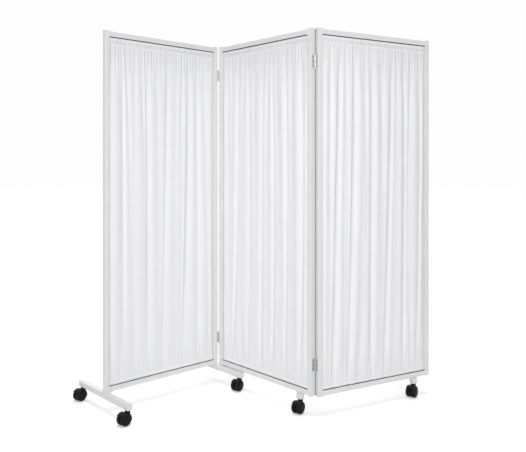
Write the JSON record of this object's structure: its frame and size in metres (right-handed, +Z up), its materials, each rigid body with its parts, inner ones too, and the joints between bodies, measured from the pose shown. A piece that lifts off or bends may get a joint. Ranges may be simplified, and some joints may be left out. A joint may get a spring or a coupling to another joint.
{
  "type": "mobile folding screen",
  "caption": "Freestanding privacy screen: curtained tube frames hinged in a zigzag, on feet and blocks with swivel castors.",
  "frame": {"origin": "centre of the footprint, on the floor, with the screen in the pose of the picture", "axes": "+Z up; +X to the right along the row of panels as seen from the front; +Y away from the viewer"},
  "size_m": [1.6378, 0.632, 1.6499],
  "materials": {
    "painted_steel": "satin",
    "cap_plastic": "matte",
    "curtain_cloth": "woven",
    "zinc_hinge": "zinc plated",
    "bright_steel": "zinc plated",
    "castor_plastic": "semi-gloss",
    "wheel_plastic": "matte"
  },
  "bodies": {
    "left_panel": {"left_panel_left_post": "painted_steel", "left_panel_right_post": "painted_steel", "left_panel_top_rail": "painted_steel", "left_panel_bottom_rail": "painted_steel", "left_panel_left_post_cap": "cap_plastic", "left_panel_right_post_cap": "cap_plastic", "left_curtain": "curtain_cloth", "cross_foot": "painted_steel", "half_foot": "painted_steel", "cross_foot_front_cap": "cap_plastic", "cross_foot_back_cap": "cap_plastic", "half_foot_cap": "cap_plastic", "back_castor_stem": "bright_steel", "front_castor_stem": "bright_steel", "fold_castor_stem": "bright_steel", "left_fold_lower_hinge_left_leaf": "zinc_hinge", "left_fold_lower_hinge_pin": "zinc_hinge", "left_fold_upper_hinge_left_leaf": "zinc_hinge", "left_fold_upper_hinge_pin": "zinc_hinge"},
    "centre_panel": {"centre_panel_left_post": "painted_steel", "centre_panel_right_post": "painted_steel", "centre_panel_top_rail": "painted_steel", "centre_panel_bottom_rail": "painted_steel", "centre_panel_left_post_cap": "cap_plastic", "centre_panel_right_post_cap": "cap_plastic", "centre_curtain": "curtain_cloth", "centre_castor_block": "painted_steel", "centre_castor_stem": "bright_steel", "left_fold_lower_hinge_right_leaf": "zinc_hinge", "left_fold_upper_hinge_right_leaf": "zinc_hinge", "right_fold_lower_hinge_left_leaf": "zinc_hinge", "right_fold_upper_hinge_left_leaf": "zinc_hinge"},
    "right_panel": {"right_panel_left_post": "painted_steel", "right_panel_right_post": "painted_steel", "right_panel_top_rail": "painted_steel", "right_panel_bottom_rail": "painted_steel", "right_panel_left_post_cap": "cap_plastic", "right_panel_right_post_cap": "cap_plastic", "right_curtain": "curtain_cloth", "right_castor_block": "painted_steel", "right_castor_stem": "bright_steel", "right_fold_lower_hinge_right_leaf": "zinc_hinge", "right_fold_lower_hinge_pin": "zinc_hinge", "right_fold_upper_hinge_right_leaf": "zinc_hinge", "right_fold_upper_hinge_pin": "zinc_hinge"},
    "back_castor": {"back_castor_hood": "castor_plastic"},
    "back_castor_left_roller": {"back_castor_left_wheel": "wheel_plastic"},
    "back_castor_right_roller": {"back_castor_right_wheel": "wheel_plastic"},
    "front_castor": {"front_castor_hood": "castor_plastic"},
    "front_castor_left_roller": {"front_castor_left_wheel": "wheel_plastic"},
    "front_castor_right_roller": {"front_castor_right_wheel": "wheel_plastic"},
    "fold_castor": {"fold_castor_hood": "castor_plastic"},
    "fold_castor_left_roller": {"fold_castor_left_wheel": "wheel_plastic"},
    "fold_castor_right_roller": {"fold_castor_right_wheel": "wheel_plastic"},
    "centre_castor": {"centre_castor_hood": "castor_plastic"},
    "centre_castor_left_roller": {"centre_castor_left_wheel": "wheel_plastic"},
    "centre_castor_right_roller": {"centre_castor_right_wheel": "wheel_plastic"},
    "right_castor": {"right_castor_hood": "castor_plastic"},
    "right_castor_left_roller": {"right_castor_left_wheel": "wheel_plastic"},
    "right_castor_right_roller": {"right_castor_right_wheel": "wheel_plastic"}
  },
  "joints": [
    {"name": "left_fold", "type": "hinge", "parent": "left_panel", "child": "centre_panel", "pos_m": [-0.17647, 0.26037, 0.9], "axis": [0, 0, 1], "range_deg": [-89, 92]},
    {"name": "right_fold", "type": "hinge", "parent": "centre_panel", "child": "right_panel", "pos_m": [0.26224, -0.18416, 0.9], "axis": [0, 0, 1], "range_deg": [-78, 102]},
    {"name": "back_castor_swivel", "type": "hinge", "parent": "left_panel", "child": "back_castor", "pos_m": [-0.7781, 0.01461, 0.05], "axis": [0, 0, 1], "continuous": true},
    {"name": "back_castor_left_roll", "type": "hinge", "parent": "back_castor", "child": "back_castor_left_roller", "pos_m": [-0.78929, -0.00198, 0.025], "axis": [0.829, -0.5592, 0], "continuous": true},
    {"name": "back_castor_right_roll", "type": "hinge", "parent": "back_castor", "child": "back_castor_right_roller", "pos_m": [-0.78929, -0.00198, 0.025], "axis": [0.829, -0.5592, 0], "continuous": true},
    {"name": "front_castor_swivel", "type": "hinge", "parent": "left_panel", "child": "front_castor", "pos_m": [-0.51917, -0.26896, 0.05], "axis": [0, 0, 1], "continuous": true},
    {"name": "front_castor_left_roll", "type": "hinge", "parent": "front_castor", "child": "front_castor_left_roller", "pos_m": [-0.53036, -0.28554, 0.025], "axis": [0.829, -0.5592, 0], "continuous": true},
    {"name": "front_castor_right_roll", "type": "hinge", "parent": "front_castor", "child": "front_castor_right_roller", "pos_m": [-0.53036, -0.28554, 0.025], "axis": [0.829, -0.5592, 0], "continuous": true},
    {"name": "fold_castor_swivel", "type": "hinge", "parent": "left_panel", "child": "fold_castor", "pos_m": [-0.06871, 0.14236, 0.05], "axis": [0, 0, 1], "continuous": true},
    {"name": "fold_castor_left_roll", "type": "hinge", "parent": "fold_castor", "child": "fold_castor_left_roller", "pos_m": [-0.0799, 0.12578, 0.025], "axis": [0.829, -0.5592, 0], "continuous": true},
    {"name": "fold_castor_right_roll", "type": "hinge", "parent": "fold_castor", "child": "fold_castor_right_roller", "pos_m": [-0.0799, 0.12578, 0.025], "axis": [0.829, -0.5592, 0], "continuous": true},
    {"name": "centre_castor_swivel", "type": "hinge", "parent": "centre_panel", "child": "centre_castor", "pos_m": [0.20276, -0.13821, 0.05], "axis": [0, 0, 1], "continuous": true},
    {"name": "centre_castor_left_roll", "type": "hinge", "parent": "centre_castor", "child": "centre_castor_left_roller", "pos_m": [0.19157, -0.15479, 0.025], "axis": [0.829, -0.5592, 0], "continuous": true},
    {"name": "centre_castor_right_roll", "type": "hinge", "parent": "centre_castor", "child": "centre_castor_right_roller", "pos_m": [0.19157, -0.15479, 0.025], "axis": [0.829, -0.5592, 0], "continuous": true},
    {"name": "right_castor_swivel", "type": "hinge", "parent": "right_panel", "child": "right_castor", "pos_m": [0.73916, 0.06083, 0.05], "axis": [0, 0, 1], "continuous": true},
    {"name": "right_castor_left_roll", "type": "hinge", "parent": "right_castor", "child": "right_castor_left_roller", "pos_m": [0.72798, 0.04425, 0.025], "axis": [0.829, -0.5592, 0], "continuous": true},
    {"name": "right_castor_right_roll", "type": "hinge", "parent": "right_castor", "child": "right_castor_right_roller", "pos_m": [0.72798, 0.04425, 0.025], "axis": [0.829, -0.5592, 0], "continuous": true}
  ]
}
